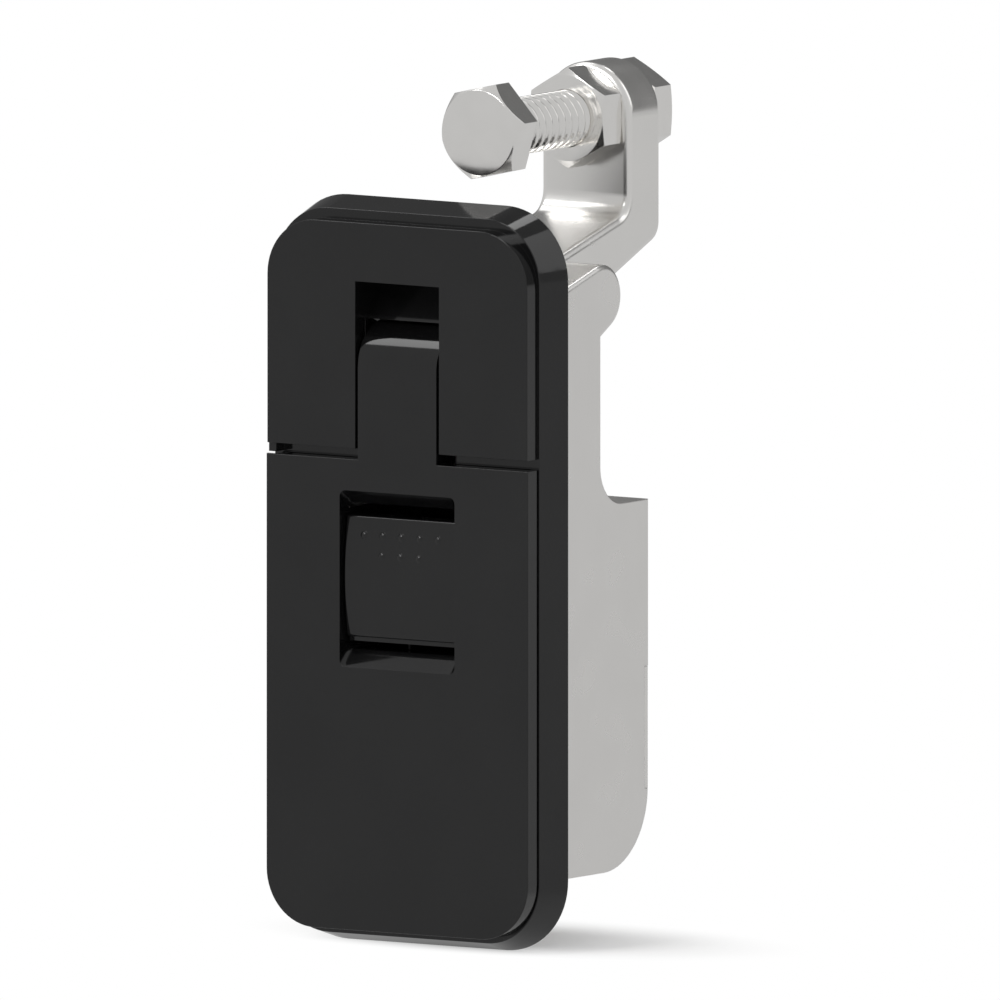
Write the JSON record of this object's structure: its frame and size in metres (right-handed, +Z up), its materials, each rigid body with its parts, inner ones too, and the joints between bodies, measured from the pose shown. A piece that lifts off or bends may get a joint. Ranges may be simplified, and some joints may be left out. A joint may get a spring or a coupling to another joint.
{
  "type": "compression latch",
  "caption": "Panel-mounted lever compression latch: black bezel and pull lever with a push button, silver housing and a cranked arm carrying an adjustable hex bolt.",
  "frame": {"origin": "centre of the fixing screw pattern, on the bezel's back face that seats on the panel", "axes": "+Z up along the bezel's length, towards the bolt's end; +Y rearwards through the panel; +X to the right seen from the front"},
  "size_m": [0.055, 0.0719, 0.1401],
  "materials": {
    "front_black": "satin black powder coat",
    "lever_black": "satin black powder coat",
    "button_black": "satin moulded black",
    "gasket_rubber": "matte",
    "cast_silver": "bare satin zinc casting",
    "arm_silver": "satin plated casting",
    "cover_steel": "rolled sheet",
    "bolt_steel": "bright plated",
    "screw_steel": "bright plated",
    "pin_steel": "ground",
    "spring_steel": "drawn wire",
    "catch_steel": "plated",
    "washer_white": "moulded"
  },
  "bodies": {
    "root": {"bezel": "front_black", "gasket": "gasket_rubber", "housing": "cast_silver", "back_cover": "cover_steel", "housing_screws": "screw_steel", "cover_screws": "screw_steel", "lever_pin": "pin_steel", "strike_bar": "pin_steel", "arm_pin": "pin_steel"},
    "lever": {"lever": "lever_black", "lever_washers": "washer_white", "button_pin": "pin_steel", "button_spring": "spring_steel", "link_pin_front": "pin_steel"},
    "button": {"button": "button_black", "catch_hook": "catch_steel", "catch_screws": "screw_steel"},
    "arm": {"arm": "arm_silver", "arm_washers": "washer_white", "link_pin_rear": "pin_steel", "front_nut": "bolt_steel", "rear_nut": "bolt_steel"},
    "link": {"link": "catch_steel"},
    "bolt": {"adjusting_bolt": "bolt_steel"}
  },
  "joints": [
    {"name": "lever_hinge", "type": "hinge", "parent": "root", "child": "lever", "pos_m": [0, -0.0016, 0.0338], "axis": [-1, 0, 0], "range_deg": [0, 90]},
    {"name": "link_hinge", "type": "hinge", "parent": "lever", "child": "link", "pos_m": [0, 0.00656, 0.03], "axis": [-1, 0, 0], "range_deg": [-90, 0]},
    {"name": "arm_hinge", "type": "hinge", "parent": "root", "child": "arm", "pos_m": [0, 0.02485, 0.04365], "axis": [-1, 0, 0], "range_deg": [0, 90]},
    {"name": "button_press", "type": "hinge", "parent": "lever", "child": "button", "pos_m": [0, -0.0044, -0.0076], "axis": [-1, 0, 0], "range_deg": [0, 9], "stiffness_Nm_per_rad": 0.2, "springref_deg": -8.59, "deforming": ["button_spring"]},
    {"name": "bolt_adjust", "type": "slide", "parent": "arm", "child": "bolt", "axis": [0, 1, 0], "range_m": [-0.004, 0.012]}
  ],
  "couplings": [
    {"joint": "link_hinge", "follows": "lever_hinge", "ratio": -1},
    {"joint": "arm_hinge", "follows": "lever_hinge", "ratio": 1}
  ]
}
